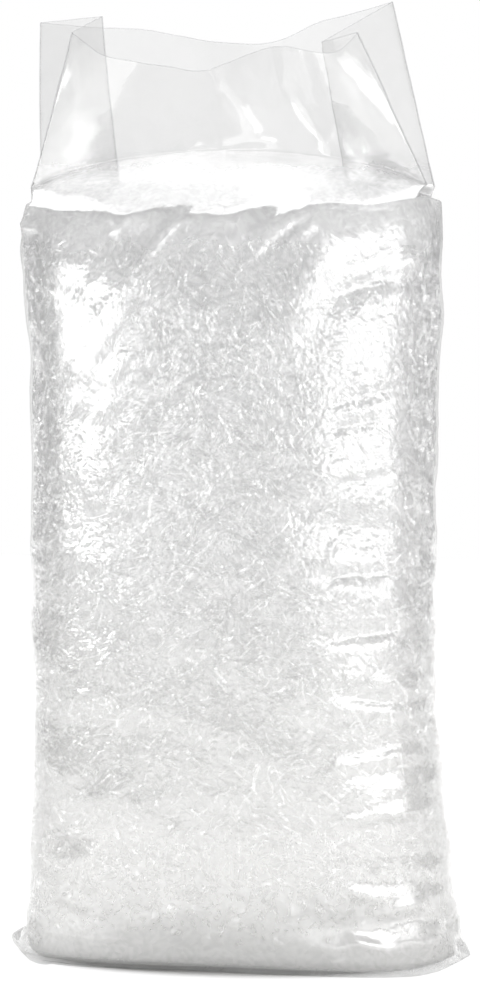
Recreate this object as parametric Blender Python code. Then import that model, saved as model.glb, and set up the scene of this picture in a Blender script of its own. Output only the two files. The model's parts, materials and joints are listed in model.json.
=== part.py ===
"""An open-topped clear gusseted film bag standing full of clear cellophane shred."""

import math

import bmesh
import bpy
import numpy as np
from mathutils import Vector
from mathutils.bvhtree import BVHTree

# The bag laid flat: one panel's width, both gusset folds together, and the film itself.
PANEL_WIDTH = 0.305
GUSSET_WIDTH = 0.130
FILM = 0.0005

# The filled part.
FILL_WIDTH = 0.308
FILL_DEPTH = 0.192
FILL_HEIGHT = 0.566
CROWN_LIFT = 0.018
SECTION_POWER = 3.4
CREASE_DEPTH = 0.0036
FOLD_SPREAD = 0.013

# The collar of empty film above the fill, measured up from the fill's top.
NECK_RISE = 0.052
NECK_DEPTH = 0.044
COLLAR_RISE = 0.134
MOUTH_BOW = 0.040

# The ears that the base seal leaves at each side.
EAR_REACH = 0.024
EAR_HEIGHT = 0.024

# The shred: one strand, and how far the packed core sits below the strands that arch over it.
STRAND_WIDTH = 0.0040
STRAND_THICK = 0.0014
STRAND_LENGTH = 0.120
CORE_DROP = 0.0004
CRUMPLE = 0.008
CLEAR = 0.0009

# Spans round the loop: front panel, one gusset fold, back panel.
FRONT_SPANS = 18
FOLD_SPANS = 4
BACK_SPANS = 14

# How many strands stand out of the core's sides and top, and the straight runs in one.
STRANDS = 18
CROWN_STRANDS = 6
STRAND_STEPS = 6

GIRTH = 2.0 * (PANEL_WIDTH + GUSSET_WIDTH)
HALF_PANEL = PANEL_WIDTH / 2.0
rng = np.random.default_rng(7)

for old in list(bpy.data.objects):
    bpy.data.objects.remove(old, do_unlink=True)


def smooth(t):
    t = np.clip(t, 0.0, 1.0)
    return t * t * (3.0 - 2.0 * t)


def columns_of():
    """Distance round the film from the front's middle for each column, and its place on its panel."""
    runs = [
        ("front", -HALF_PANEL, HALF_PANEL, FRONT_SPANS),
        ("fold_fr", HALF_PANEL, HALF_PANEL + GUSSET_WIDTH / 2, FOLD_SPANS),
        ("fold_br", HALF_PANEL + GUSSET_WIDTH / 2, HALF_PANEL + GUSSET_WIDTH, FOLD_SPANS),
        ("back", HALF_PANEL + GUSSET_WIDTH, 3 * HALF_PANEL + GUSSET_WIDTH, BACK_SPANS),
        ("fold_bl", 3 * HALF_PANEL + GUSSET_WIDTH, GIRTH / 2 + HALF_PANEL + GUSSET_WIDTH / 2, FOLD_SPANS),
        ("fold_fl", GIRTH / 2 + HALF_PANEL + GUSSET_WIDTH / 2, GIRTH - HALF_PANEL, FOLD_SPANS),
    ]
    found = []
    for name, start, end, spans in runs:
        for i in range(spans):
            t = i / spans
            found.append((name, t, start + (end - start) * t))
    return found


COLUMNS = columns_of()
COUNT = len(COLUMNS)


def section_table(power, steps=1440):
    """A rounded rectangle's outline by share of its length, starting at the middle of the front."""
    angle = np.linspace(-math.pi / 2, 1.5 * math.pi, steps + 1)
    c, s = np.cos(angle), np.sin(angle)
    x = FILL_WIDTH / 2 * np.sign(c) * np.abs(c) ** (2 / power)
    y = FILL_DEPTH / 2 * np.sign(s) * np.abs(s) ** (2 / power)
    run = np.concatenate([[0.0], np.cumsum(np.hypot(np.diff(x), np.diff(y)))])
    return run / run[-1], x, y


SECTION = section_table(SECTION_POWER)


def width_shares(t):
    """How far the left and right sides stand out at this share of the fill's height, over the plain width."""
    at = [0.0, 0.03, 0.07, 0.11, 0.17, 0.25, 0.33, 0.6, 0.8, 0.86, 0.92, 0.965, 1.0]
    left = [0.95, 1.0, 1.025, 1.025, 1.01, 1.0, 0.985, 1.005, 1.005, 1.03, 1.055, 1.065, 1.01]
    right = [0.99, 1.06, 1.08, 1.085, 1.06, 1.03, 1.0, 0.99, 0.995, 1.015, 1.0, 1.025, 0.99]
    return np.interp(t, at, left), np.interp(t, at, right)


def depth_share(t):
    at = [0.0, 0.03, 0.08, 0.2, 0.4, 0.7, 0.88, 1.0]
    return np.interp(t, at, [0.86, 0.96, 1.02, 1.03, 1.01, 0.98, 0.99, 0.955])


def crown_share(x, y):
    """The fill's top edge in crown lifts: it dips in the panels and rises at the corners."""
    at = [-1.0, -0.79, -0.43, -0.05, 0.2, 0.38, 0.55, 0.75, 0.95, 1.0]
    front = np.interp(x, at, [0.8, 0.34, 0.05, 0.0, -0.28, 0.22, 0.5, 0.5, 1.0, 1.0])
    back = np.interp(x, at, [0.8, 0.4, -0.1, -0.2, 0.1, 0.3, 0.1, 0.4, 0.9, 1.0])
    return back + (front - back) * smooth(0.5 - y)


def body_point(m, t, inset=0.0):
    """A point of the filled film's outside: m round the film, t up the fill, inset inwards."""
    share = (m / GIRTH) % 1.0
    x = float(np.interp(share, SECTION[0], SECTION[1]))
    y = float(np.interp(share, SECTION[0], SECTION[2]))
    across, through = x / (FILL_WIDTH / 2), y / (FILL_DEPTH / 2)
    square = 1.0 + 0.22 * (1.0 - smooth(t / 0.09)) * (across * through) ** 2
    left, right = width_shares(t)
    x *= (right if x > 0 else left) * square * (1.0 - inset / (FILL_WIDTH / 2))
    y *= depth_share(t) * square * (1.0 - inset / (FILL_DEPTH / 2))
    lift = CROWN_LIFT * crown_share(across, through) * smooth((t - 0.72) / 0.28)
    return np.array([x, y, FILL_HEIGHT * t + lift])


# Folds pressed into the filled film: start and end as (share of half the girth, share up), and depth.
FOLDS = [
    ((-0.09, 0.97), (-0.17, 0.87), 1.7),
    ((0.19, 0.96), (0.08, 0.84), 1.7),
    ((-0.33, 0.985), (-0.38, 0.86), -1.3),
    ((-0.28, 0.80), (-0.46, 0.755), 1.0),
    ((0.31, 0.93), (0.43, 0.885), 1.3),
    ((0.18, 0.70), (0.42, 0.685), 0.9),
    ((0.16, 0.58), (0.40, 0.60), -0.9),
    ((-0.40, 0.45), (-0.56, 0.43), 1.0),
    ((0.22, 0.40), (0.45, 0.385), 0.9),
    ((-0.12, 0.33), (-0.34, 0.30), -0.8),
    ((0.20, 0.22), (0.48, 0.255), 1.1),
    ((-0.22, 0.14), (-0.47, 0.19), 1.1),
    ((0.02, 0.09), (0.30, 0.06), -0.9),
    ((0.26, 0.05), (0.46, 0.12), 1.2),
    ((0.62, 0.95), (0.70, 0.82), 1.6),
    ((0.98, 0.96), (0.88, 0.84), 1.6),
    ((0.66, 0.50), (0.90, 0.46), -1.0),
    ((0.70, 0.20), (0.95, 0.25), 1.1),
]


def crease(m, t):
    """How far a fold or a shallow buckle lifts the film here, from its mean surface."""
    share = (m / (GIRTH / 2) + 1.0) % 2.0 - 1.0
    lift = 0.0
    for (s0, t0), (s1, t1), depth in FOLDS:
        a = np.array([s0 * GIRTH / 2, t0 * FILL_HEIGHT])
        b = np.array([s1 * GIRTH / 2, t1 * FILL_HEIGHT])
        for turn in (0.0, GIRTH, -GIRTH):
            p = np.array([share * GIRTH / 2 + turn, t * FILL_HEIGHT])
            along = np.clip(np.dot(p - a, b - a) / np.dot(b - a, b - a), 0.0, 1.0)
            gone = np.linalg.norm(p - a - along * (b - a))
            swell = math.exp(-((gone / FOLD_SPREAD) ** 2)) * (0.4 + 0.6 * math.sin(math.pi * along))
            lift += 0.6 * CREASE_DEPTH * depth * swell
    side = abs(abs(share) - 0.5)
    buckle = math.exp(-((side / 0.16) ** 2))
    wave = math.sin(150 * t + 9 * share) * 0.45 + math.sin(97 * t - 14 * share + 1.0) * 0.4
    wave += 0.35 * math.sin(61 * t + 31 * share)
    lift += CREASE_DEPTH * wave * (0.25 + 0.45 * buckle)
    return lift * smooth(t / 0.05) * smooth((1.06 - t) / 0.1)


# The collar's corners at its foot: across in panel widths, through in neck depths, up in neck rises.
TOP = FILL_HEIGHT + COLLAR_RISE
FOOT = {
    "fl": (-0.508, -0.5, 0.44),
    "fr": (0.484, -0.5, 0.46),
    "gr": (0.279, 0.0, 0.46),
    "br": (0.492, 0.5, 0.46),
    "bl": (-0.508, 0.5, 0.44),
    "gl": (-0.295, 0.0, 0.46),
}

# The same corners at the top edge: through in gusset widths, up in collar rises from the mean edge.
BRIM = {
    "fl": (-0.384, -0.385, 0.035),
    "fr": (0.320, -0.346, 0.020),
    "gr": (0.211, 0.077, 0.0),
    "br": (0.377, 0.346, 0.246),
    "bl": (-0.534, 0.423, 0.157),
    "gl": (-0.346, 0.077, 0.160),
}
ENDS = {
    "front": ("fl", "fr"),
    "fold_fr": ("fr", "gr"),
    "fold_br": ("gr", "br"),
    "back": ("br", "bl"),
    "fold_bl": ("bl", "gl"),
    "fold_fl": ("gl", "fl"),
}


def foot_point(panel, t):
    """The pinched line where the collar leaves the shoulder."""
    ends = [FOOT[k] for k in ENDS[panel]]
    x, y, z = (ends[0][i] + (ends[1][i] - ends[0][i]) * t for i in range(3))
    if panel in ("front", "back"):
        z += 0.54 * math.sin(math.pi * t) ** 0.7
        y *= 1.0 - 0.25 * math.sin(math.pi * t)
    return np.array([x * PANEL_WIDTH, y * NECK_DEPTH, FILL_HEIGHT + z * NECK_RISE])


def brim_point(panel, t):
    """The top edge: both panels bow out in two lobes and meet near the middle."""
    ends = [BRIM[k] for k in ENDS[panel]]
    x, y, z = (ends[0][i] + (ends[1][i] - ends[0][i]) * t for i in range(3))
    x *= PANEL_WIDTH
    y *= GUSSET_WIDTH
    if panel == "front":
        pinch = 0.66
        lobe = math.sin(math.pi * t / pinch) if t < pinch else math.sin(math.pi * (t - pinch) / (1 - pinch))
        y -= MOUTH_BOW * (0.62 if t > pinch else 0.8) * lobe
        y += 1.18 * MOUTH_BOW * math.exp(-(((t - pinch) / 0.12) ** 2))
        at = [0, 0.12, 0.3, 0.47, 0.53, 0.6, 0.66, 0.74, 0.86, 0.94, 1]
        z = np.interp(t, at, [0.035, -0.11, -0.165, -0.205, -0.16, -0.08, -0.03, -0.046, -0.10, -0.10, 0.02])
    if panel == "back":
        pinch = 0.36
        y -= 0.9 * MOUTH_BOW * math.exp(-(((t - pinch) / 0.15) ** 2))
        y += 0.3 * MOUTH_BOW * math.sin(math.pi * t)
        at = [0, 0.12, 0.23, 0.31, 0.36, 0.48, 0.7, 0.86, 1]
        z = np.interp(t, at, [0.246, 0.179, 0.119, 0.0, 0.0, 0.022, 0.115, 0.130, 0.157])
    return np.array([x, y, TOP + float(z) * COLLAR_RISE])


def collar_ripple(panel, t, v):
    """Soft upright pleats in the empty film, strongest in the middle of its height."""
    if panel not in ("front", "back"):
        return 0.0
    turn = 1.0 if panel == "front" else -1.0
    wave = math.sin(23 * t + 2.6 * v) + 0.6 * math.sin(41 * t - 3.1 * v + 1.0)
    wave += 1.8 * math.exp(-(((t - 0.55 - 0.05 * v) / 0.035) ** 2))
    middle = math.sin(math.pi * min(1.0, v * 0.8 + 0.1)) * math.sin(math.pi * t)
    return -turn * 0.055 * MOUTH_BOW * wave * middle


BODY_T = [0.0, 0.008, 0.02, 0.042, 0.07, 0.105]
BODY_T += [0.145 + 0.0445 * i for i in range(20)]
SHOULDER_W = [0.16, 0.34, 0.54, 0.76, 1.0]
COLLAR_V = [0.14, 0.29, 0.44, 0.6, 0.76, 0.9, 1.0]


def outward(m):
    step = GIRTH / 400
    a, b = body_point(m - step, 0.5), body_point(m + step, 0.5)
    along = (b - a) / np.linalg.norm(b - a)
    return np.array([along[1], -along[0], 0.0])


def film_rows(ears):
    """The film's outside as rows of points, from the base up to the top edge."""
    rows = []
    for t in BODY_T:
        row = []
        for panel, part, m in COLUMNS:
            p = body_point(m, t) + outward(m) * crease(m, t)
            if ears and t < 0.1:
                side = 1.0 if p[0] > 0 else -1.0
                close = max(0.0, 1.0 - abs(p[1]) / (0.3 * FILL_DEPTH)) * float(abs(p[0]) > 0.4 * FILL_WIDTH)
                shape = [0.9, 1.1, 0.75, 0.4, 0.25, 0.0] if side > 0 else [0.85, 1.15, 1.1, 0.12, 0.0, 0.0]
                tall = np.interp(p[2] / EAR_HEIGHT, [0.0, 0.2, 0.5, 1.0, 1.65, 2.4], shape)
                p[0] += side * EAR_REACH * close * tall
            row.append(p)
        rows.append(row)
    crown = rows[-1]
    for w in SHOULDER_W:
        row = []
        for (panel, part, m), low in zip(COLUMNS, crown):
            high = foot_point(panel, part)
            lift = high[2] - low[2]
            turn = low + np.array([0.0, 0.0, 0.3 * lift]) + 0.06 * (high - low) * np.array([1.0, 1.0, 0.0])
            near = high - np.array([0.0, 0.0, 0.12 * lift]) + 0.25 * (low - high) * np.array([1.0, 1.0, 0.0])
            a, b, c, d = (1 - w) ** 3, 3 * w * (1 - w) ** 2, 3 * w * w * (1 - w), w ** 3
            p = a * low + b * turn + c * near + d * high
            if panel in ("front", "back"):
                pucker = math.sin(34 * part + 1.3) + 0.7 * math.sin(57 * part)
                p[2] += 0.035 * NECK_RISE * pucker * math.sin(math.pi * w) * math.sin(math.pi * part)
            row.append(p)
        rows.append(row)
    for v in COLLAR_V:
        row = []
        for panel, part, m in COLUMNS:
            low, high = foot_point(panel, part), brim_point(panel, part)
            p = low + (high - low) * v
            p[1] = low[1] + (high[1] - low[1]) * v ** 1.35
            p[1] += collar_ripple(panel, part, v)
            row.append(p)
        rows.append(row)
    return np.array(rows)


def grid_normals(rows):
    """For each point, the unit normals of the four quads round it."""
    nxt = np.roll(rows, -1, axis=1)
    face = np.cross(nxt[1:] - rows[:-1], rows[1:] - nxt[:-1])
    face /= np.linalg.norm(face, axis=2, keepdims=True)
    low = np.concatenate([face[:1], face])
    high = np.concatenate([face, face[-1:]])
    return np.stack([low, np.roll(low, 1, axis=1), high, np.roll(high, 1, axis=1)], axis=2)


def inwards(rows, depth):
    """The rows moved in so that each quad round a point moves by about this depth."""
    normals = grid_normals(rows)
    moved = rows.copy()
    for i in range(rows.shape[0]):
        for j in range(rows.shape[1]):
            n = normals[i, j]
            mean = n.mean(axis=0)
            mean /= np.linalg.norm(mean)
            pull = 0.12
            step = np.linalg.solve(n.T @ n + pull * np.eye(3), n.T @ np.full(4, depth) + pull * mean * depth)
            size = np.linalg.norm(step)
            moved[i, j] -= step * min(1.0, 2.2 * depth / size)
    return moved


def object_of(name, verts, faces, colour, alpha, roughness):
    mesh = bpy.data.meshes.new(name)
    mesh.from_pydata([tuple(v) for v in verts], [], faces)
    mesh.validate()
    thing = bpy.data.objects.new(name, mesh)
    bpy.context.scene.collection.objects.link(thing)
    look = bpy.data.materials.new(name)
    look.use_nodes = True
    shader = look.node_tree.nodes["Principled BSDF"]
    shader.inputs["Base Color"].default_value = colour
    shader.inputs["Alpha"].default_value = alpha
    shader.inputs["Roughness"].default_value = roughness
    mesh.materials.append(look)
    return thing


def wall_faces(count, columns, start, flip):
    found = []
    for i in range(count - 1):
        for j in range(columns):
            k = (j + 1) % columns
            a, b = start + i * columns + j, start + i * columns + k
            c, d = b + columns, a + columns
            found += [(a, c, b), (a, d, c)] if flip else [(a, b, c), (a, c, d)]
    return found


# The film: one skin outside, one inside, closed across the base and round the top edge.
outside = film_rows(ears=True)
inside = inwards(film_rows(ears=False), FILM)
inside[0, :, 2] = FILM
outside[0, :, 2] = 0.0

verts = np.concatenate([outside.reshape(-1, 3), inside.reshape(-1, 3)])
size = outside.shape[0] * COUNT
faces = wall_faces(outside.shape[0], COUNT, 0, False)
faces += wall_faces(outside.shape[0], COUNT, size, True)
last = size - COUNT
for j in range(COUNT):
    k = (j + 1) % COUNT
    faces += [(last + j, last + k, size + last + k), (last + j, size + last + k, size + last + j)]
film = object_of("film_bag", verts, faces, (0.9, 0.93, 0.95, 1.0), 0.3, 0.12)

shape = bmesh.new()
shape.from_mesh(film.data)
shape.verts.ensure_lookup_table()
under = [shape.verts[j] for j in range(COUNT)]
floor = [shape.verts[size + j] for j in range(COUNT)]
shape.faces.new(list(reversed(under)))
shape.faces.new(floor)
bmesh.ops.recalc_face_normals(shape, faces=shape.faces)
bmesh.ops.triangulate(shape, faces=[f for f in shape.faces if len(f.verts) > 3])
shape.to_mesh(film.data)
shape.free()

# The shred's packed core: a coarser body that keeps clear of the film, domed on top.
CORE_COLUMNS = 40
CORE_INSET = FILM + CLEAR + STRAND_THICK + CORE_DROP + 0.6 * CREASE_DEPTH
CORE_T = [0.0, 0.02, 0.055] + [0.1 + 0.885 * i / 22 for i in range(23)]
ceiling = wall_faces(len(inside), COUNT, 0, False)
ceiling_tree = BVHTree.FromPolygons([Vector(v) for v in inside.reshape(-1, 3)], ceiling)


def ceiling_over(x, y):
    """How high the fill may reach here: under the film near by, and under the open neck."""
    lowest = FILL_HEIGHT + 0.5 * NECK_RISE + 2.0 * STRAND_THICK
    for dx in (-0.07, 0.0, 0.07):
        for dy in (-0.05, 0.0, 0.05):
            start = Vector((x + dx * FILL_WIDTH, y + dy * FILL_DEPTH, 0.9 * FILL_HEIGHT))
            hit = ceiling_tree.ray_cast(start, Vector((0.0, 0.0, 1.0)))[0]
            inner = abs(start.x) < 0.46 * FILL_WIDTH and abs(start.y) < 0.44 * FILL_DEPTH
            if hit and inner:
                lowest = min(lowest, hit[2])
    return lowest


core_rows = []
for i, t in enumerate(CORE_T):
    row = []
    for j in range(CORE_COLUMNS):
        m = GIRTH * (j + 0.5 * (i % 2)) / CORE_COLUMNS
        sunk = CORE_INSET + CRUMPLE * rng.random() ** 1.5 * smooth(t / 0.06)
        p = body_point(m, t, sunk) + outward(m) * crease(m, t)
        p[2] = max(p[2], FILM + CLEAR)
        row.append(p)
    core_rows.append(row)
for shrink, rise in ((0.93, 0.13), (0.79, 0.28), (0.54, 0.46), (0.27, 0.56)):
    row = []
    for j in range(CORE_COLUMNS):
        m = GIRTH * (j + 0.5 * (len(core_rows) % 2)) / CORE_COLUMNS
        p = body_point(m, CORE_T[-1], CORE_INSET)
        p[:2] *= shrink
        p[2] += (rise + 0.12 * rng.random() - 0.06) * NECK_RISE
        p[2] = min(p[2], ceiling_over(p[0], p[1]) - 4.0 * STRAND_THICK)
        row.append(p)
    core_rows.append(row)
core_rows = np.array(core_rows)
tip = core_rows[-1].mean(axis=0) + np.array([0.0, 0.0, 0.06 * NECK_RISE])
verts = list(core_rows.reshape(-1, 3)) + [tip]
faces = []
for i in range(core_rows.shape[0] - 1):
    for j in range(CORE_COLUMNS):
        k = (j + 1) % CORE_COLUMNS
        a, b = i * CORE_COLUMNS + j, i * CORE_COLUMNS + k
        c, d = b + CORE_COLUMNS, a + CORE_COLUMNS
        faces += [(a, b, c), (a, c, d)] if i % 2 else [(a, b, d), (b, c, d)]
end = (core_rows.shape[0] - 1) * CORE_COLUMNS
for j in range(CORE_COLUMNS):
    faces.append((end + j, end + (j + 1) % CORE_COLUMNS, len(verts) - 1))
faces.append(tuple(reversed(range(CORE_COLUMNS))))
fill = object_of("shred_fill", verts, faces, (0.93, 0.94, 0.95, 1.0), 1.0, 0.35)
crown_tree = BVHTree.FromPolygons([Vector(v) for v in verts], faces)

# Strands that arch off the core: both ends are buried in it and the crest lies just under the film.
COLUMN_M = np.array([c[2] for c in COLUMNS] + [COLUMNS[0][2] + GIRTH])
ROW_T = np.array(BODY_T)


def under_film(m, t, depth):
    """A point at this depth under the inside of the filled film, and the direction out of it."""
    m = (m + HALF_PANEL) % GIRTH - HALF_PANEL
    j = int(np.clip(np.searchsorted(COLUMN_M, m, side="right") - 1, 0, COUNT - 1))
    i = int(np.clip(np.searchsorted(ROW_T, t, side="right") - 1, 0, len(ROW_T) - 2))
    u = (m - COLUMN_M[j]) / (COLUMN_M[j + 1] - COLUMN_M[j])
    w = (t - ROW_T[i]) / (ROW_T[i + 1] - ROW_T[i])
    k = (j + 1) % COUNT
    low = inside[i, j] * (1 - u) + inside[i, k] * u
    high = inside[i + 1, j] * (1 - u) + inside[i + 1, k] * u
    out = outward(m)
    return low * (1 - w) + high * w - out * depth, out


def ring_at(p, out, side):
    """A strand's flat section, its outer face at p."""
    half, thick = side * STRAND_WIDTH / 2, out * STRAND_THICK
    return [p + half, p - half, p - half - thick, p + half - thick]


def strand(m, t, heading, swing, phase):
    """One strand's rings, wandering under the film with both ends buried in the core."""
    rings = []
    step = STRAND_LENGTH / STRAND_STEPS
    for i in range(STRAND_STEPS + 1):
        depth = CLEAR
        if i in (0, STRAND_STEPS):
            depth += CORE_INSET + CRUMPLE + 6.0 * STRAND_THICK
        p, out = under_film(m, t, depth)
        aim = heading + swing * math.sin(phase + 0.9 * i)
        along = math.cos(aim) * np.array([-out[1], out[0], 0.0]) + np.array([0.0, 0.0, math.sin(aim)])
        side = np.cross(out, along)
        rings.append(ring_at(p, out, side / np.linalg.norm(side)))
        m += step * math.cos(aim)
        t += step * math.sin(aim) / FILL_HEIGHT
    return np.array(rings)


def crown_strand(x, y, heading, turn, stations):
    """The same for a strand that lies on top of the fill, under the open mouth."""
    rings = []
    step = STRAND_LENGTH / STRAND_STEPS
    up = np.array([0.0, 0.0, 1.0])
    for i in range(stations):
        end = min(i, stations - 1 - i)
        top = crown_tree.ray_cast(Vector((x, y, 2.0 * FILL_HEIGHT)), Vector((0.0, 0.0, -1.0)))[0][2]
        top = min(top, ceiling_over(x, y) - 4.0 * STRAND_THICK)
        p = np.array([x, y, top + STRAND_THICK * (1.5 if end else -3.0)])
        side = np.array([-math.sin(heading), math.cos(heading), 0.0])
        rings.append(ring_at(p, up, side))
        x += 0.7 * step * math.cos(heading)
        y += 0.7 * step * math.sin(heading)
        heading += turn
    return np.array(rings)


def strand_object(rings):
    """Side faces and both end faces of one strand, facing outwards."""
    count = len(rings)
    faces = wall_faces(count, 4, 0, False)
    faces += [(3, 2, 1, 0), tuple((count - 1) * 4 + i for i in range(4))]
    return object_of("strand", rings.reshape(-1, 3), faces, (1.0, 1.0, 1.0, 1.0), 1.0, 0.3)


cutters = []
for i in range(STRANDS):
    t = 0.14 + 0.72 * ((i * 0.618) % 1.0)
    m = GIRTH * (i + 0.5 * rng.random()) / STRANDS - HALF_PANEL
    heading = rng.choice([0.35, 0.7, 1.2, 2.0, 2.5]) * (-1.0 if t > 0.5 else 1.0)
    cutters.append(strand_object(strand(m, t, heading, 0.5 + 0.5 * rng.random(), 6.0 * rng.random())))
for i in range(CROWN_STRANDS):
    x = FILL_WIDTH * (-0.26 + 0.44 * i / (CROWN_STRANDS - 1))
    y = FILL_DEPTH * (0.10 * rng.random() - 0.12 * (i % 2))
    cutters.append(strand_object(crown_strand(x, y, 0.4 + 2.2 * rng.random(), 0.8 * rng.random() - 0.4, 5)))

for piece in cutters:
    join = fill.modifiers.new("strand", "BOOLEAN")
    join.operation = "UNION"
    join.solver = "EXACT"
    join.object = piece
bpy.context.view_layer.update()
graph = bpy.context.evaluated_depsgraph_get()
solid = bpy.data.meshes.new_from_object(fill.evaluated_get(graph))
fill.modifiers.clear()
fill.data = solid
for piece in cutters:
    bpy.data.objects.remove(piece, do_unlink=True)
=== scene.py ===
import json
import math

import bmesh
import bpy
import numpy as np
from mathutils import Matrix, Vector, noise
from mathutils.bvhtree import BVHTree

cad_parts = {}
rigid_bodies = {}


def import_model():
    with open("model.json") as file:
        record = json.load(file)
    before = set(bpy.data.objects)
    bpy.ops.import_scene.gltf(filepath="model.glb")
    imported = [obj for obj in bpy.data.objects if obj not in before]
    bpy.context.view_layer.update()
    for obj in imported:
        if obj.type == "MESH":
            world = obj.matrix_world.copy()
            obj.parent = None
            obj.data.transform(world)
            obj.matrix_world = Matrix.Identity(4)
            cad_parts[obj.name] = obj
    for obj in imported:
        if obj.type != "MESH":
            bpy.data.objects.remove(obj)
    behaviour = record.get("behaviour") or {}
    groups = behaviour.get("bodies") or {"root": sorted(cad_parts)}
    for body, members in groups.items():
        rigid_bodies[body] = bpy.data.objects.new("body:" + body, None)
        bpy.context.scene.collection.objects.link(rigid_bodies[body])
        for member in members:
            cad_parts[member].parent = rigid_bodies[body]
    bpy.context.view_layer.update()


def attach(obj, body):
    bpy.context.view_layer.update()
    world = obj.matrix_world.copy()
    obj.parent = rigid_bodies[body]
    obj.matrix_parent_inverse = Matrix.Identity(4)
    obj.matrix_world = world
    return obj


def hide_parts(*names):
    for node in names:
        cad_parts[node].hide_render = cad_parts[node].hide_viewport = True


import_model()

# The bag: one tube of clear film with a gusset folded down each side, welded shut along its flat
# base and open at the top. The shred inside presses fine wrinkles into it and pulls long folds out
# of the corners of the shoulder.
MOUTH_ABOVE = 0.6
LIP = 0.0017


def only(thing):
    """Make this object the only one selected, and the active one."""
    bpy.ops.object.select_all(action="DESELECT")
    thing.select_set(True)
    bpy.context.view_layer.objects.active = thing


def points_of(thing, kind="co"):
    """The places or the normals of an object's vertices, as rows of three."""
    flat = np.empty(len(thing.data.vertices) * 3)
    thing.data.vertices.foreach_get(kind, flat)
    return flat.reshape(-1, 3)


# The film is the outer face of the solid bag. The faces round the mouth that are narrower than
# LIP, and lead to the inner face, come off with it.
only(bpy.data.objects["film_bag"])
bpy.ops.object.duplicate()
film = bpy.context.view_layer.objects.active
film.name = "bag_film"
bpy.ops.object.mode_set(mode="EDIT")
bpy.ops.mesh.select_all(action="SELECT")
bpy.ops.mesh.remove_doubles(threshold=0.00002)
bpy.ops.mesh.select_all(action="DESELECT")
shape = bmesh.from_edit_mesh(film.data)
for face in shape.faces:
    narrow = min(edge.calc_length() for edge in face.edges) < LIP
    face.select_set(narrow and face.calc_center_median().z > MOUTH_ABOVE)
bmesh.update_edit_mesh(film.data)
bpy.ops.mesh.delete(type="FACE")
shape = bmesh.from_edit_mesh(film.data)
widest = max(shape.verts, key=lambda v: abs(v.co.x))
widest.select_set(True)
bpy.ops.mesh.select_linked()
bpy.ops.mesh.select_all(action="INVERT")
bpy.ops.mesh.delete(type="VERT")
bpy.ops.mesh.select_all(action="SELECT")
bpy.ops.mesh.tris_convert_to_quads(face_threshold=math.radians(60), shape_threshold=math.radians(80))
shape = bmesh.from_edit_mesh(film.data)
sharpness = shape.edges.layers.float.new("crease_edge")
for edge in shape.edges:
    if len(edge.link_faces) == 2 and edge.calc_face_angle() > math.radians(50):
        edge[sharpness] = 0.75
    if max(v.co.z for v in edge.verts) < 0.0005:
        edge[sharpness] = 1.0
bmesh.update_edit_mesh(film.data)
bpy.ops.object.mode_set(mode="OBJECT")

# Smoothing draws the corners of the net in, so they are set out by nearly as much first. The front,
# which takes the long folds, gets a finer net.
net = points_of(film)
bpy.ops.object.duplicate()
trial = bpy.context.view_layer.objects.active
smooth = trial.modifiers.new("smooth", "SUBSURF")
smooth.levels = smooth.render_levels = 2
bpy.ops.object.modifier_apply(modifier="smooth")
drawn_in = points_of(trial)[:len(net)]
bpy.data.objects.remove(trial)
only(film)
film.data.vertices.foreach_set("co", (net + 0.9 * (net - drawn_in)).reshape(-1))
smooth = film.modifiers.new("smooth", "SUBSURF")
smooth.levels = smooth.render_levels = 2
bpy.ops.object.modifier_apply(modifier="smooth")
bpy.ops.object.mode_set(mode="EDIT")
bpy.ops.mesh.select_mode(type="FACE")
bpy.ops.mesh.select_all(action="DESELECT")
shape = bmesh.from_edit_mesh(film.data)
for face in shape.faces:
    face.select_set(face.normal.y < -0.1 and face.calc_center_median().y < 0.03)
bmesh.update_edit_mesh(film.data)
bpy.ops.mesh.subdivide(number_cuts=1, smoothness=1.0)
bpy.ops.mesh.select_mode(type="VERT")
bpy.ops.object.mode_set(mode="OBJECT")

# The bag rests on the middle of its base. Its lower edge is rounded under, higher at the left than
# at the right, and not at the ears.
ROUNDING = 0.010
SLANT = 0.022
EARS_FROM = 0.165
at = points_of(film)
under = np.clip(1 - (at[:, 2] + SLANT * at[:, 0]) / ROUNDING, 0, 1)
under *= np.clip((EARS_FROM - np.abs(at[:, 0])) / 0.03, 0, 1)
at[:, 1] *= 1 - 0.20 * (1 - np.sqrt(1 - under ** 2))
film.data.vertices.foreach_set("co", at.reshape(-1))
film.data.update()
# The share that turns under is kept on the film, so that painted shade can darken its colour there.
turned = film.data.attributes.new("turned_under", "FLOAT", "POINT")
turned.data.foreach_set("value", under)

# Fine wrinkles: level ones low down, most at the right side, combed ones that slant up to the
# right at the left of the middle, small lumps all over, and upright ones in the slack film of
# the collar.
out = points_of(film, "normal")
body = np.clip((0.578 - at[:, 2]) / 0.03, 0, 1) * np.clip(at[:, 2] / 0.02, 0, 1)
side = np.clip((np.abs(at[:, 0]) - 0.07) / 0.05, 0, 1) * np.where(at[:, 0] > 0, 1, 0.2)
low = np.clip((0.46 - at[:, 2]) / 0.06, 0, 1)
combed = np.exp(-((at[:, 0] + 0.050) / 0.052) ** 2 - ((at[:, 2] - 0.435) / 0.085) ** 2)
push = np.zeros(len(at))
for i, (x, y, z) in enumerate(at):
    level = noise.noise(Vector((x * 14 + 3, y * 14, z * 60 + 6 * x)))
    lumps = noise.noise(Vector((x * 62, y * 62, z * 62 + 9)))
    slants = noise.noise(Vector(((0.6 * x + 0.8 * z) * 22, y * 22, (0.6 * z - 0.8 * x) * 80)))
    upright = noise.noise(Vector((x * 60, y * 60, z * 8 + 4)))
    slack = (0.0004 if z < 0.61 else 0.0007) * upright + 0.0003 * lumps
    packed = (0.0002 + 0.0009 * side[i] * low[i]) * level + 0.0004 * lumps
    packed += (0.0002 + 0.0011 * combed[i]) * slants
    push[i] = body[i] * packed + (1 - body[i]) * slack * min(1.0, z / 0.02)

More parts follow.
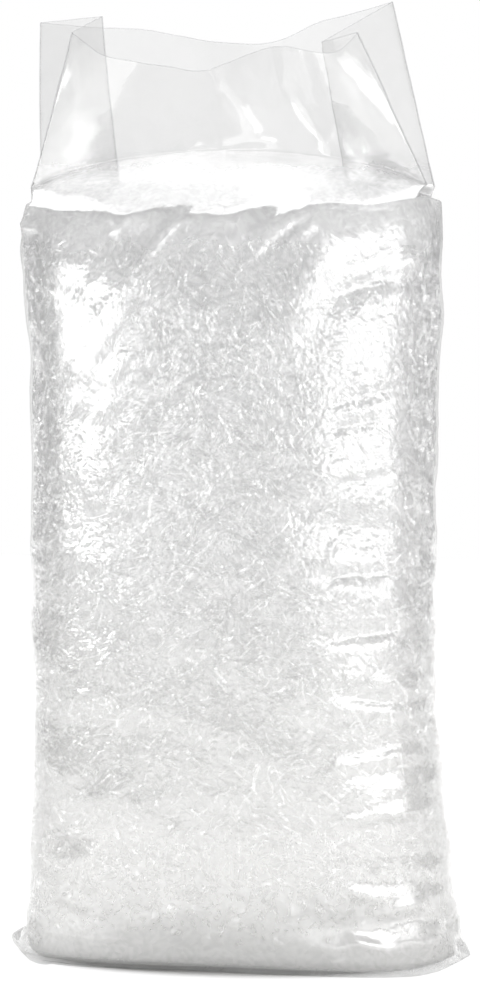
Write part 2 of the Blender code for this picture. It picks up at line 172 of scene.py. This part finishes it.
# The long folds lie over the wrinkles: where each starts and ends on the front (x, z), how wide it
# is and how far it stands out. Nothing is pressed in deeper than DEEPEST.
FOLDS = [
    ((-0.166, 0.563), (-0.138, 0.559), 0.0035, 0.0018),
    ((-0.168, 0.552), (-0.140, 0.551), 0.0040, -0.0014),
    ((-0.094, 0.560), (-0.049, 0.571), 0.0032, 0.0008),
    ((-0.082, 0.554), (-0.061, 0.568), 0.0034, 0.0009),
    ((-0.058, 0.532), (-0.034, 0.560), 0.0032, 0.0014),
    ((-0.034, 0.560), (-0.012, 0.567), 0.0032, 0.0008),
    ((-0.066, 0.546), (-0.040, 0.566), 0.0070, -0.0014),
    ((-0.007, 0.562), (0.040, 0.574), 0.0040, 0.0010),
    ((0.028, 0.532), (0.062, 0.563), 0.0030, -0.0012),
    ((0.036, 0.530), (0.070, 0.561), 0.0034, 0.0010),
    ((0.062, 0.563), (0.066, 0.578), 0.0034, 0.0008),
    ((0.084, 0.504), (0.118, 0.520), 0.0080, -0.0017),
    ((0.118, 0.520), (0.152, 0.516), 0.0080, -0.0017),
    ((0.138, 0.530), (0.152, 0.552), 0.0040, 0.0020),
    ((-0.150, 0.529), (-0.130, 0.511), 0.0030, 0.0022),
    ((-0.152, 0.500), (-0.136, 0.478), 0.0040, 0.0016),
    ((0.084, 0.428), (0.138, 0.440), 0.0045, -0.0013),
    ((0.088, 0.410), (0.118, 0.417), 0.0045, -0.0011),
    ((0.090, 0.368), (0.134, 0.378), 0.0045, -0.0013),
    ((0.084, 0.341), (0.120, 0.334), 0.0045, -0.0013),
    ((0.080, 0.300), (0.136, 0.306), 0.0050, -0.0015),
    ((0.086, 0.255), (0.138, 0.262), 0.0050, -0.0020),
    ((0.090, 0.214), (0.140, 0.206), 0.0050, -0.0022),
    ((0.092, 0.160), (0.144, 0.168), 0.0045, 0.0018),
    ((0.090, 0.118), (0.146, 0.126), 0.0045, 0.0018),
    ((0.096, 0.068), (0.124, 0.060), 0.0050, 0.0014),
    ((0.120, 0.050), (0.150, 0.056), 0.0055, 0.0014),
    ((0.100, 0.030), (0.132, 0.020), 0.0050, 0.0016),
    ((-0.120, 0.056), (-0.098, 0.050), 0.0045, 0.0008),
    ((-0.012, 0.676), (-0.006, 0.614), 0.0030, 0.0024),
    ((-0.034, 0.609), (-0.025, 0.622), 0.0035, 0.0009),
    ((-0.010, 0.619), (0.027, 0.626), 0.0040, 0.0009),
    ((0.072, 0.682), (0.077, 0.633), 0.0070, 0.0012),
    ((0.077, 0.633), (0.094, 0.590), 0.0070, 0.0012),
    ((0.051, 0.670), (0.065, 0.618), 0.0070, -0.0012),
]
DEEPEST = 0.0028
front = np.clip(-out[:, 1] * 3, 0, 1) * (at[:, 1] < 0.01)
for (x0, z0), (x1, z1), width, height in FOLDS:
    run = np.array([x1 - x0, z1 - z0])
    long = np.linalg.norm(run)
    away = at[:, [0, 2]] - (x0, z0)
    share = (away @ run) / long ** 2
    off = (away[:, 0] * run[1] - away[:, 1] * run[0]) / long
    taper = np.clip(np.minimum(share + 0.2, 1.2 - share) / 0.35, 0, 1)
    push += front * height * taper * np.exp(-(off / width) ** 2)
film.data.vertices.foreach_set("co", (at + out * np.maximum(push, -DEEPEST)[:, None]).reshape(-1))
film.data.update()
bpy.ops.object.shade_smooth()


def material(name, **values):
    """A Principled material with these values on its own sockets."""
    made = bpy.data.materials.new(name)
    made.use_nodes = True
    shader = made.node_tree.nodes["Principled BSDF"]
    for key, value in values.items():
        shader.inputs[key.replace("_", " ")].default_value = value
    return made, made.node_tree.nodes, made.node_tree.links, shader


def fasten(piece, look, node):
    """Give a piece its material, and its place in the model."""
    piece.data.materials.clear()
    piece.data.materials.append(look)
    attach(piece, "root")
    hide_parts(node)


def step(nodes, kind, operation, second=None):
    """A node that works on numbers ("Math") or on places ("VectorMath"), and its second value."""
    made = nodes.new("ShaderNode" + kind)
    made.operation = operation
    if second is not None:
        made.inputs[1].default_value = second
    return made


def spread(nodes, low, high, start=0.0, end=1.0):
    """A node that turns the values from low to high into those from start to end."""
    made = nodes.new("ShaderNodeMapRange")
    for key, value in (("From Min", low), ("From Max", high), ("To Min", start), ("To Max", end)):
        made.inputs[key].default_value = value
    return made


def tones(nodes, *stops):
    """A node that gives greys by height or strength, each stop a place and its tone."""
    ramp = nodes.new("ShaderNodeValToRGB")
    made = ramp.color_ramp.elements
    for end, (spot, tone) in zip((made[0], made[1]), (stops[0], stops[-1])):
        end.position = spot
        end.color = (tone, tone, tone, 1)
    for spot, tone in stops[1:-1]:
        made.new(spot).color = (tone, tone, tone, 1)
    return ramp


def strand_relief():
    """A node group: bundles of strands that lie each its own way. It gives a height from 0 to 1."""
    group = bpy.data.node_groups.new("strand_relief", "ShaderNodeTree")
    group.interface.new_socket("Vector", in_out="INPUT", socket_type="NodeSocketVector")
    for name, start in (("Bundles", 40.0), ("Strands", 650.0), ("Length", 70.0)):
        group.interface.new_socket(name, in_out="INPUT", socket_type="NodeSocketFloat").default_value = start
    group.interface.new_socket("Height", in_out="OUTPUT", socket_type="NodeSocketFloat")
    nodes, links = group.nodes, group.links
    given, result = nodes.new("NodeGroupInput"), nodes.new("NodeGroupOutput")
    cells = nodes.new("ShaderNodeTexVoronoi")
    local = step(nodes, "VectorMath", "SUBTRACT")
    spin = step(nodes, "VectorMath", "SCALE")
    spin.inputs["Scale"].default_value = 6.283
    turn = nodes.new("ShaderNodeVectorRotate")
    turn.rotation_type = "EULER_XYZ"
    sizes = nodes.new("ShaderNodeCombineXYZ")
    stretch = step(nodes, "VectorMath", "MULTIPLY")
    shift = step(nodes, "VectorMath", "MULTIPLY_ADD", (40, 40, 40))
    strands = nodes.new("ShaderNodeTexNoise")
    strands.inputs["Scale"].default_value = 1.0
    strands.inputs["Detail"].default_value = 0.6
    links.new(given.outputs["Vector"], cells.inputs["Vector"])
    links.new(given.outputs["Bundles"], cells.inputs["Scale"])
    links.new(given.outputs["Vector"], local.inputs[0])
    links.new(cells.outputs["Position"], local.inputs[1])
    links.new(cells.outputs["Color"], spin.inputs[0])
    links.new(local.outputs["Vector"], turn.inputs["Vector"])
    links.new(spin.outputs["Vector"], turn.inputs["Rotation"])
    links.new(given.outputs["Length"], sizes.inputs["X"])
    links.new(given.outputs["Strands"], sizes.inputs["Y"])
    links.new(given.outputs["Strands"], sizes.inputs["Z"])
    links.new(turn.outputs["Vector"], stretch.inputs[0])
    links.new(sizes.outputs["Vector"], stretch.inputs[1])
    links.new(cells.outputs["Color"], shift.inputs[0])
    links.new(stretch.outputs["Vector"], shift.inputs[2])
    links.new(shift.outputs["Vector"], strands.inputs["Vector"])
    links.new(strands.outputs["Fac"], result.inputs["Height"])
    return group


def strands_under(nodes, links, place, **sizes):
    """The relief of the strands at an object's own places, with its sizes."""
    made = nodes.new("ShaderNodeGroup")
    made.node_tree = relief
    for key, value in sizes.items():
        made.inputs[key].default_value = value
    links.new(place.outputs["Object"], made.inputs["Vector"])
    return made


# The strands press their relief into the film, least in the taut corner at the upper left and near
# the base. The film is more opaque and milky where it is gathered under the crown and where it lies
# on the shred near the base. Its colour carries painted light and shade: lighter over the pressed
# strands, darker between them, and darker where it turns under.
FILM_ALPHA = 0.26
relief = strand_relief()
film_look, nodes, links, shader = material(
    "clear_film", Base_Color=(0.68, 0.68, 0.68, 1), Roughness=0.12, IOR=3.2, Alpha=FILM_ALPHA)
place = nodes.new("ShaderNodeTexCoord")
pressed = strands_under(nodes, links, place, Bundles=75, Strands=270, Length=85)
heights = nodes.new("ShaderNodeSeparateXYZ")
links.new(place.outputs["Object"], heights.inputs["Vector"])

below = tones(nodes, (0.0, 0.3), (0.10, 0.32), (0.22, 0.7), (0.34, 1.0), (0.49, 1.0), (0.53, 0.45),
              (0.57, 0.35), (0.600, 0.06))
height = step(nodes, "Math", "MULTIPLY")
corner = step(nodes, "VectorMath", "DISTANCE", (-0.110, -0.085, 0.468))
taut = spread(nodes, 0.025, 0.075, 0.22, 1.0)
eased = step(nodes, "Math", "MULTIPLY")
bump = nodes.new("ShaderNodeBump")
bump.inputs["Strength"].default_value = 0.8
bump.inputs["Distance"].default_value = 0.0009
links.new(heights.outputs["Z"], below.inputs["Fac"])
links.new(pressed.outputs["Height"], height.inputs[0])
links.new(below.outputs["Color"], height.inputs[1])
links.new(place.outputs["Object"], corner.inputs[0])
links.new(corner.outputs["Value"], taut.inputs["Value"])
links.new(height.outputs["Value"], eased.inputs[0])
links.new(taut.outputs["Result"], eased.inputs[1])
links.new(eased.outputs["Value"], bump.inputs["Height"])
links.new(bump.outputs["Normal"], shader.inputs["Normal"])

# The film's colour by height: paler just under the crown and greyer in the collar.
tint = tones(nodes, (0.530, 0.68), (0.565, 0.78), (0.620, 0.58))
turned_under = nodes.new("ShaderNodeAttribute")
turned_under.attribute_name = "turned_under"
# Painted shade: the colour is darkened where the film turns under.
painted_shade = spread(nodes, 0.0, 0.35, 1.0, 0.66)
# Painted light and shade: the colour is lighter over the pressed strands and darker between them.
painted_relief_shading = spread(nodes, 0.35, 0.65, 0.94, 1.10)
painted_film_shading = step(nodes, "Math", "MULTIPLY")
lit = step(nodes, "VectorMath", "SCALE")
links.new(heights.outputs["Z"], tint.inputs["Fac"])
links.new(turned_under.outputs["Fac"], painted_shade.inputs["Value"])
links.new(pressed.outputs["Height"], painted_relief_shading.inputs["Value"])
links.new(painted_relief_shading.outputs["Result"], painted_film_shading.inputs[0])
links.new(painted_shade.outputs["Result"], painted_film_shading.inputs[1])
links.new(tint.outputs["Color"], lit.inputs[0])
links.new(painted_film_shading.outputs["Value"], lit.inputs["Scale"])
links.new(lit.outputs["Vector"], shader.inputs["Base Color"])

patches = nodes.new("ShaderNodeTexNoise")
patches.inputs["Scale"].default_value = 30
ragged = step(nodes, "Math", "MULTIPLY_ADD", 0.030)
centred = step(nodes, "Math", "ADD", -0.015)
gathered = tones(nodes, (0.02, 0.48), (0.12, 0.42), (0.30, FILM_ALPHA), (0.525, FILM_ALPHA),
                 (0.560, 0.58), (0.600, 0.56), (0.618, FILM_ALPHA))
links.new(place.outputs["Object"], patches.inputs["Vector"])
links.new(patches.outputs["Fac"], ragged.inputs[0])
links.new(heights.outputs["Z"], ragged.inputs[2])
links.new(ragged.outputs["Value"], centred.inputs[0])
links.new(centred.outputs["Value"], gathered.inputs["Fac"])
links.new(gathered.outputs["Color"], shader.inputs["Alpha"])
fasten(film, film_look, "film_bag")

# The pressed folds and the cut edge of the film: where it is folded back on itself or ends, it
# shows as a thin darker line.
crease_look, nodes, links, shader = material(
    "film_edge", Base_Color=(0.22, 0.23, 0.25, 1), Roughness=0.2, IOR=1.8, Alpha=0.13)
SHOULDER = 0.584
for name, radius in (("film_mouth_edge", 0.0004), ("film_fold_lines", 0.0006)):
    only(film)
    bpy.ops.object.mode_set(mode="EDIT")
    bpy.ops.mesh.select_mode(type="EDGE")
    bpy.ops.mesh.select_all(action="DESELECT")
    shape = bmesh.from_edit_mesh(film.data)
    sharpness = shape.edges.layers.float.get("crease_edge")
    for edge in shape.edges:
        high = min(v.co.z for v in edge.verts)
        if name == "film_mouth_edge":
            edge.select_set(len(edge.link_faces) == 1 and high > MOUTH_ABOVE)
        else:
            steep = abs(edge.verts[0].co.z - edge.verts[1].co.z) > 0.7 * edge.calc_length()
            corner = abs(edge.verts[0].co.x) > 0.065 and len(edge.link_faces) == 2
            edge.select_set(edge[sharpness] > 0.6 and high > SHOULDER and steep and corner)
    bmesh.update_edit_mesh(film.data)
    bpy.ops.mesh.duplicate()
    bpy.ops.mesh.separate(type="SELECTED")
    bpy.ops.mesh.select_mode(type="VERT")
    bpy.ops.object.mode_set(mode="OBJECT")
    line = [thing for thing in bpy.context.selected_objects if thing is not film][0]
    only(line)
    line.name = name
    bpy.ops.object.convert(target="CURVE")
    line.data.bevel_depth = radius
    line.data.bevel_resolution = 0
    bpy.ops.object.convert(target="MESH")
    bpy.ops.object.shade_smooth()
    fasten(line, crease_look, "film_bag")

# The shred: thousands of narrow strands cut from clear cellophane sheet, curled by the cutting and
# packed loose. Six strands are curled, and their copies lie in a layer just inside the film.
skin = BVHTree.FromPolygons([v.co for v in film.data.vertices],
                            [tuple(p.vertices) for p in film.data.polygons])
BODY_TOP = 0.574
# The film round the shred as a net: at each of LEVELS heights it has TURNS points, evenly spaced
# from the middle of the front by way of the right side.
LEVELS, TURNS, RAYS = 160, 260, 391
levels = np.linspace(0.003, BODY_TOP, LEVELS)
wall = np.zeros((LEVELS, TURNS, 3))
for i, z in enumerate(levels):
    ring = []
    for angle in np.linspace(-0.5 * math.pi, 1.5 * math.pi, RAYS):
        hit = skin.ray_cast(Vector((0, 0, z)), Vector((math.cos(angle), math.sin(angle), 0)))[0]
        ring.append(tuple(hit) if hit else ring[-1])
    ring = np.array(ring)
    run = np.concatenate([[0], np.cumsum(np.linalg.norm(np.diff(ring, axis=0), axis=1))])
    share = np.linspace(0, run[-1], TURNS, endpoint=False)
    wall[i] = np.stack([np.interp(share, run, ring[:, k]) for k in range(3)], axis=1)
GIRTH = run[-1]


def on_wall(m, z, depth):
    """Points this deep inside the film, m round it from the middle of the front, at height z."""
    u = (m / GIRTH * TURNS) % TURNS
    v = np.clip((z - levels[0]) / (levels[-1] - levels[0]) * (LEVELS - 1), 0, LEVELS - 1.001)
    j, i = u.astype(int), v.astype(int)
    fu, fv = (u - j)[..., None], (v - i)[..., None]
    j %= TURNS
    k = (j + 1) % TURNS
    low = wall[i, j] * (1 - fu) + wall[i, k] * fu
    high = wall[i + 1, j] * (1 - fu) + wall[i + 1, k] * fu
    along = wall[i, (j + 5) % TURNS] - wall[i, (j - 4) % TURNS]
    out = np.stack([along[..., 1], -along[..., 0], np.zeros_like(u)], axis=-1)
    out /= np.linalg.norm(out, axis=-1, keepdims=True)
    return low * (1 - fv) + high * fv - out * depth[..., None]


# The shred's own top is a low heap in the neck. Elsewhere the film of the shoulder lies on it. What
# is laid under this roof keeps within a rounded oblong, seen from above.
HEAP_TOP = 0.594
HALF_WIDE, HALF_DEEP, SQUARENESS = 0.148, 0.080, 3.4
COLUMNS, ROWS = 140, 90
grid_x = np.linspace(-0.17, 0.17, COLUMNS)
grid_y = np.linspace(-0.105, 0.105, ROWS)
roof = np.zeros((COLUMNS, ROWS))
for i, x in enumerate(grid_x):
    for j, y in enumerate(grid_y):
        hit = skin.ray_cast(Vector((x, y, 0.5)), Vector((0, 0, 1)))[0]
        heap = HEAP_TOP + 0.003 * noise.noise(Vector((x * 22, y * 22, 1)))
        roof[i, j] = min(hit.z, heap) if hit else heap


def under_roof(x, y, depth):
    """Points this deep below the film of the shoulder, or below the shred's own top in the neck."""
    reach = np.abs(x / HALF_WIDE) ** SQUARENESS + np.abs(y / HALF_DEEP) ** SQUARENESS
    beyond = np.maximum(1, reach ** (1 / SQUARENESS))
    x, y = x / beyond, y / beyond
    u = np.clip((x - grid_x[0]) / (grid_x[1] - grid_x[0]), 0, COLUMNS - 1.001)
    v = np.clip((y - grid_y[0]) / (grid_y[1] - grid_y[0]), 0, ROWS - 1.001)
    i, j = u.astype(int), v.astype(int)
    fu, fv = u - i, v - j
    top = (roof[i, j] * (1 - fu) + roof[i + 1, j] * fu) * (1 - fv)
    top += (roof[i, j + 1] * (1 - fu) + roof[i + 1, j + 1] * fu) * fv
    return np.stack([x, y, top - depth], axis=-1)


# Each strand is bent to an arch, laid over, twisted along its length and bent to a hook, by these
# angles in degrees. Its width is a share of its length.
CURLS = ((50, 50, 40), (-90, 110, 80), (120, 170, 30), (80, 20, -70), (-140, 80, 100), (30, 230, 20))
STRAND_WIDTH = 0.085
rng = np.random.default_rng(11)
strand_shapes = []
for arch, curl, hook in CURLS:
    bpy.ops.object.select_all(action="DESELECT")
    bpy.ops.mesh.primitive_grid_add(x_subdivisions=9, y_subdivisions=1, size=1, rotation=(math.pi / 2, 0, 0))
    strand = bpy.context.view_layer.objects.active
    bpy.ops.object.transform_apply(rotation=True)
    bpy.ops.object.mode_set(mode="EDIT")
    bpy.ops.transform.resize(value=(1, 1, STRAND_WIDTH))
    bpy.ops.object.mode_set(mode="OBJECT")
    bends = (("BEND", "Z", arch, math.pi / 2), ("TWIST", "X", curl, 0), ("BEND", "Z", hook, 0))
    for kind, axis, degrees, roll in bends:
        bent = strand.modifiers.new(kind, "SIMPLE_DEFORM")
        bent.deform_method = kind
        bent.deform_axis = axis
        bent.angle = math.radians(degrees)
        bpy.ops.object.modifier_apply(modifier=bent.name)
        strand.rotation_euler.x = roll
        bpy.ops.object.transform_apply(rotation=True)
    shape = points_of(strand)
    strand_shapes.append(shape - shape.mean(0))
    strand_faces = np.array([tuple(p.vertices) for p in strand.data.polygons])
    bpy.data.objects.remove(strand)
strand_shapes = np.array(strand_shapes)


def lay_strands(name, count, spot, long):
    """Copies of the six strands, each turned its own way at its own spot, as one piece."""
    along, up, heading, deep, carry = spot(count)
    size = (long * (0.3 + 1.1 * rng.random(count) ** 1.5))[:, None]
    width = (long * (0.6 + 0.8 * rng.random(count)))[:, None]
    shapes = strand_shapes[rng.integers(0, len(strand_shapes), count)]
    shapes = shapes * np.stack([size, width, width], axis=-1)
    flip = rng.choice([-1.0, 1.0], count)[:, None]
    x, y, z = shapes[..., 0], shapes[..., 1] * flip, shapes[..., 2]
    lean = rng.normal(0, 0.8, count)[:, None]
    y, z = y * np.cos(lean) - z * np.sin(lean), y * np.sin(lean) + z * np.cos(lean)
    cos, sin = np.cos(heading)[:, None], np.sin(heading)[:, None]
    places = carry(along[:, None] + x * cos - y * sin, up[:, None] + x * sin + y * cos,
                   np.maximum(deep[:, None] - z, 0.0014 + 0.0005 * rng.random(count)[:, None]))
    each = places.shape[1]
    quads = (np.arange(count)[:, None, None] * each + strand_faces[None]).reshape(-1, 4)
    mesh = bpy.data.meshes.new(name)
    mesh.from_pydata(places.reshape(-1, 3), [], quads)
    tone = mesh.attributes.new("tone", "FLOAT", "POINT")
    tone.data.foreach_set("value", np.repeat(rng.random(count), each))
    mesh.shade_smooth()
    piece = bpy.data.objects.new(name, mesh)
    bpy.context.scene.collection.objects.link(piece)
    return piece


SHRED_FOOT = 0.012


def beside_film(low, high):
    """Spots for strands between two places round the film. Near the top they slant up and inwards."""
    def spot(count):
        m = low + (high - low) * rng.random(count)
        z = SHRED_FOOT + 0.002 + (BODY_TOP - 0.018) * rng.random(count)
        upper = np.clip((z - 0.28) / 0.2, 0, 1)
        heading = 0.35 + 0.85 * upper + (0.75 - 0.35 * upper) * rng.normal(0, 1, count)
        right_half = (m + 0.02 * rng.normal(0, 1, count)) % GIRTH < GIRTH / 2
        heading = np.where(right_half, math.pi - heading, heading)
        deep = 0.0018 + 0.011 * rng.random(count) ** 1.2
        return m, z, heading, deep, lambda a, b, c: on_wall(a, np.clip(b, SHRED_FOOT, BODY_TOP), c)
    return spot


def below_shoulder(count):
    """Spots for strands over the top of the shred."""
    x = -0.158 + 0.316 * rng.random(count)
    y = -0.094 + 0.188 * rng.random(count)
    heading = rng.random(count) * 2 * math.pi
    deep = 0.002 + 0.009 * rng.random(count)
    return x, y, heading, deep, under_roof


def painted_floor_bounce(nodes, links, place, ramp):
    """The tones of a ramp, drawn to one paler tone towards the foot of the bag: painted light, standing in
    for the light that the white floor throws up onto the lower bag.

    A Mix node takes colours at its inputs 6 and 7, numbers at 2 and 3, and their share at 0.
    """
    heights = nodes.new("ShaderNodeSeparateXYZ")
    low = tones(nodes, (0.05, 0.92), (0.12, 0.75), (0.30, 0.30), (0.44, 0.16), (0.53, 0.12), (0.56, 0.0))
    blend = nodes.new("ShaderNodeMix")
    blend.data_type = "RGBA"
    blend.inputs[7].default_value = (0.71, 0.704, 0.69, 1)
    links.new(place.outputs["Object"], heights.inputs["Vector"])
    links.new(heights.outputs["Z"], low.inputs["Fac"])
    links.new(low.outputs["Color"], blend.inputs[0])
    links.new(ramp.outputs["Color"], blend.inputs[6])
    return blend.outputs[2]


shred_look, nodes, links, shader = material(
    "clear_shred", Base_Color=(0.88, 0.88, 0.89, 1), Roughness=0.08, IOR=4.2, Alpha=0.40)
place = nodes.new("ShaderNodeTexCoord")
tone = nodes.new("ShaderNodeAttribute")
tone.attribute_name = "tone"
ramp = nodes.new("ShaderNodeValToRGB")
ramp.color_ramp.elements[0].color = (0.54, 0.54, 0.55, 1)
ramp.color_ramp.elements[1].color = (0.70, 0.70, 0.71, 1)
links.new(tone.outputs["Fac"], ramp.inputs["Fac"])
# The tones are drawn paler towards the foot: painted light from the floor.
links.new(painted_floor_bounce(nodes, links, place, ramp), shader.inputs["Base Color"])

quarter = GIRTH / 4
for name, count, spot, long in (
    ("shred_front", 7500, beside_film(-quarter * 0.70, quarter * 0.70), 0.021),
    ("shred_right", 3000, beside_film(quarter * 0.70, quarter * 1.30), 0.026),
    ("shred_back", 7000, beside_film(quarter * 1.30, quarter * 2.70), 0.028),
    ("shred_left", 3000, beside_film(quarter * 2.70, quarter * 3.30), 0.026),
    ("shred_top", 2500, below_shoulder, 0.024),
):
    fasten(lay_strands(name, count, spot, long), shred_look, "shred_fill")

# The middle of the shred: the same strands, packed too close for one to be told from the next. It
# is one closed mass that starts 10 mm inside the film, and the loose strands lie in front of it.
ROUND = 96
INSIDE = np.full(ROUND, 0.010)
m = np.linspace(0, GIRTH, ROUND, endpoint=False)
rows = [on_wall(m, np.full(ROUND, z), INSIDE) for z in np.linspace(0.004, BODY_TOP - 0.006, 60)]
rim = rows[-1]
for share in (0.97, 0.9, 0.78, 0.6, 0.4, 0.2):
    rows.append(under_roof(rim[:, 0] * share, rim[:, 1] * share, INSIDE))
rows = np.array(rows)
quads = [(i * ROUND + j, i * ROUND + (j + 1) % ROUND, (i + 1) * ROUND + (j + 1) % ROUND, (i + 1) * ROUND + j)
         for i in range(len(rows) - 1) for j in range(ROUND)]
quads += [tuple(reversed(range(ROUND))), tuple(range((len(rows) - 1) * ROUND, len(rows) * ROUND))]
mesh = bpy.data.meshes.new("shred_core")
mesh.from_pydata(rows.reshape(-1, 3), [], quads)
core = bpy.data.objects.new("shred_core", mesh)
bpy.context.scene.collection.objects.link(core)
only(core)
bpy.ops.object.shade_smooth()
core_look, nodes, links, shader = material("packed_shred", Base_Color=(0.7, 0.7, 0.71, 1), Roughness=0.45)
place = nodes.new("ShaderNodeTexCoord")
packed = strands_under(nodes, links, place, Strands=320, Length=50)
# The tone follows the strand relief: the pattern of the packed strands, with painted shade darkening the
# hollows between them.
ramp = nodes.new("ShaderNodeValToRGB")
ramp.color_ramp.elements[0].position = 0.32
ramp.color_ramp.elements[1].position = 0.68
ramp.color_ramp.elements[0].color = (0.46, 0.46, 0.47, 1)
ramp.color_ramp.elements[1].color = (0.72, 0.72, 0.725, 1)
# Painted light and shade: the colour is drawn paler towards the foot for the light the floor throws up, and
# darkened along the slanted lower edge as a painted contact shadow.
slope = step(nodes, "VectorMath", "DOT_PRODUCT", (SLANT, 0, 1))
painted_contact_shadow = spread(nodes, 0.008, 0.014, 0.65, 1.0)
painted_shade = step(nodes, "VectorMath", "SCALE")
bump = nodes.new("ShaderNodeBump")
bump.inputs["Strength"].default_value = 0.4
bump.inputs["Distance"].default_value = 0.0015
links.new(packed.outputs["Height"], ramp.inputs["Fac"])
links.new(place.outputs["Object"], slope.inputs[0])
links.new(slope.outputs["Value"], painted_contact_shadow.inputs["Value"])
links.new(painted_floor_bounce(nodes, links, place, ramp), painted_shade.inputs[0])
links.new(painted_contact_shadow.outputs["Result"], painted_shade.inputs["Scale"])
links.new(painted_shade.outputs["Vector"], shader.inputs["Base Color"])
links.new(packed.outputs["Height"], bump.inputs["Height"])
links.new(bump.outputs["Normal"], shader.inputs["Normal"])
fasten(core, core_look, "shred_fill")

# The studio: a white floor that keeps the bag's shadow near it and is plain white beyond, and a
# white surround, which the film mirrors a little darker at the left, behind and above.
bpy.ops.object.select_all(action="DESELECT")
bpy.ops.mesh.primitive_plane_add(size=8, location=(0, 0, 0))
floor = bpy.context.view_layer.objects.active
floor.name = "floor"
floor_look, nodes, links, shader = material("floor", Roughness=0.6)
place = nodes.new("ShaderNodeTexCoord")
oval = step(nodes, "VectorMath", "MULTIPLY", (4.2, 7.6, 0))
far = step(nodes, "VectorMath", "LENGTH")
seen_from = spread(nodes, 0.60, 0.72)
mirrored_from = spread(nodes, 1.2, 2.4)
path = nodes.new("ShaderNodeLightPath")
mirrored = step(nodes, "Math", "MAXIMUM")
mirrored_glow = step(nodes, "Math", "MULTIPLY")
seen_glow = step(nodes, "Math", "MULTIPLY")
glow = step(nodes, "Math", "MAXIMUM")
shader.inputs["Emission Color"].default_value = (1, 1, 1, 1)
lit_share = nodes.new("ShaderNodeMix")
lit_share.data_type = "RGBA"
lit_share.inputs[6].default_value = (0.93, 0.93, 0.92, 1)
lit_share.inputs[7].default_value = (0, 0, 0, 1)
links.new(place.outputs["Object"], oval.inputs[0])
links.new(oval.outputs["Vector"], far.inputs[0])
links.new(far.outputs["Value"], seen_from.inputs["Value"])
links.new(far.outputs["Value"], mirrored_from.inputs["Value"])
links.new(path.outputs["Is Glossy Ray"], mirrored.inputs[0])
links.new(path.outputs["Is Transmission Ray"], mirrored.inputs[1])
links.new(mirrored.outputs["Value"], mirrored_glow.inputs[0])
links.new(mirrored_from.outputs["Result"], mirrored_glow.inputs[1])
links.new(path.outputs["Is Camera Ray"], seen_glow.inputs[0])
links.new(seen_from.outputs["Result"], seen_glow.inputs[1])
links.new(seen_glow.outputs["Value"], glow.inputs[0])
links.new(mirrored_glow.outputs["Value"], glow.inputs[1])
links.new(glow.outputs["Value"], shader.inputs["Emission Strength"])
links.new(seen_glow.outputs["Value"], lit_share.inputs[0])
links.new(lit_share.outputs[2], shader.inputs["Base Color"])
floor.data.materials.append(floor_look)

world = bpy.data.worlds.new("studio")
bpy.context.scene.world = world
world.use_nodes = True
nodes, links = world.node_tree.nodes, world.node_tree.links
back = nodes["Background"]
back.inputs["Color"].default_value = (1, 1, 1, 1)
path = nodes.new("ShaderNodeLightPath")
seen = step(nodes, "Math", "MAXIMUM")
seen_through = step(nodes, "Math", "MAXIMUM")
ahead = nodes.new("ShaderNodeTexCoord")
facing = step(nodes, "VectorMath", "DOT_PRODUCT", (0.58, -0.70, -0.40))
room = spread(nodes, -0.5, 0.7, 0.34, 1.0)
mirrored = nodes.new("ShaderNodeMix")
level = nodes.new("ShaderNodeMix")
level.inputs[2].default_value = 0.47
links.new(path.outputs["Is Camera Ray"], seen.inputs[0])
links.new(path.outputs["Is Glossy Ray"], seen.inputs[1])
links.new(seen.outputs["Value"], seen_through.inputs[0])
links.new(path.outputs["Is Transmission Ray"], seen_through.inputs[1])
links.new(ahead.outputs["Generated"], facing.inputs[0])
links.new(facing.outputs["Value"], room.inputs["Value"])
links.new(path.outputs["Is Glossy Ray"], mirrored.inputs[0])
mirrored.inputs[2].default_value = 1.0
links.new(room.outputs["Result"], mirrored.inputs[3])
links.new(seen_through.outputs["Value"], level.inputs[0])
links.new(mirrored.outputs[0], level.inputs[3])
links.new(level.outputs[0], back.inputs["Strength"])

# The softboxes: a low one on each side in front, each brighter in its middle, and one high up
# behind that the shoulder mirrors.
for name, azimuth, height, distance, width, tall, power in (
    ("softbox_left", -38, 0.43, 1.5, 1.5, 0.28, 4.0),
    ("softbox_left_middle", -43, 0.425, 1.45, 0.7, 0.20, 2.4),
    ("softbox_right", 40, 0.44, 1.5, 2.0, 0.60, 7),
    ("softbox_right_middle", 38, 0.44, 1.45, 1.4, 0.38, 5),
    ("softbox_over", 195, 2.1, 0.9, 2.7, 2.0, 53),
):
    bpy.ops.object.select_all(action="DESELECT")
    bpy.ops.object.light_add(type="AREA")
    lamp = bpy.context.view_layer.objects.active
    lamp.name = name
    lamp.data.shape = "RECTANGLE"
    lamp.data.size = width
    lamp.data.size_y = tall
    lamp.data.energy = power
    turn = math.radians(azimuth)
    lamp.location = (distance * math.sin(turn), -distance * math.cos(turn), height)
    lamp.rotation_euler = (Vector((0, 0, 0.42)) - lamp.location).to_track_quat("-Z", "Y").to_euler()

# The camera: a long lens a little above the bag's middle, and a little to the right of it.
bpy.ops.object.camera_add()
camera = bpy.context.view_layer.objects.active
camera.data.lens = 121.8
camera.data.sensor_width = 36
turn, tilt, distance = math.radians(8), math.radians(3.2), 2.55
aim = Vector((0.0030, 0, 0.3574))
away = Vector((math.sin(turn) * math.cos(tilt), -math.cos(turn) * math.cos(tilt), math.sin(tilt)))
camera.location = aim + distance * away
camera.rotation_euler = (math.pi / 2 - tilt, 0, turn)
bpy.context.scene.camera = camera
bpy.context.scene.view_settings.view_transform = "Standard"
bpy.context.scene.cycles.transparent_max_bounces = 24
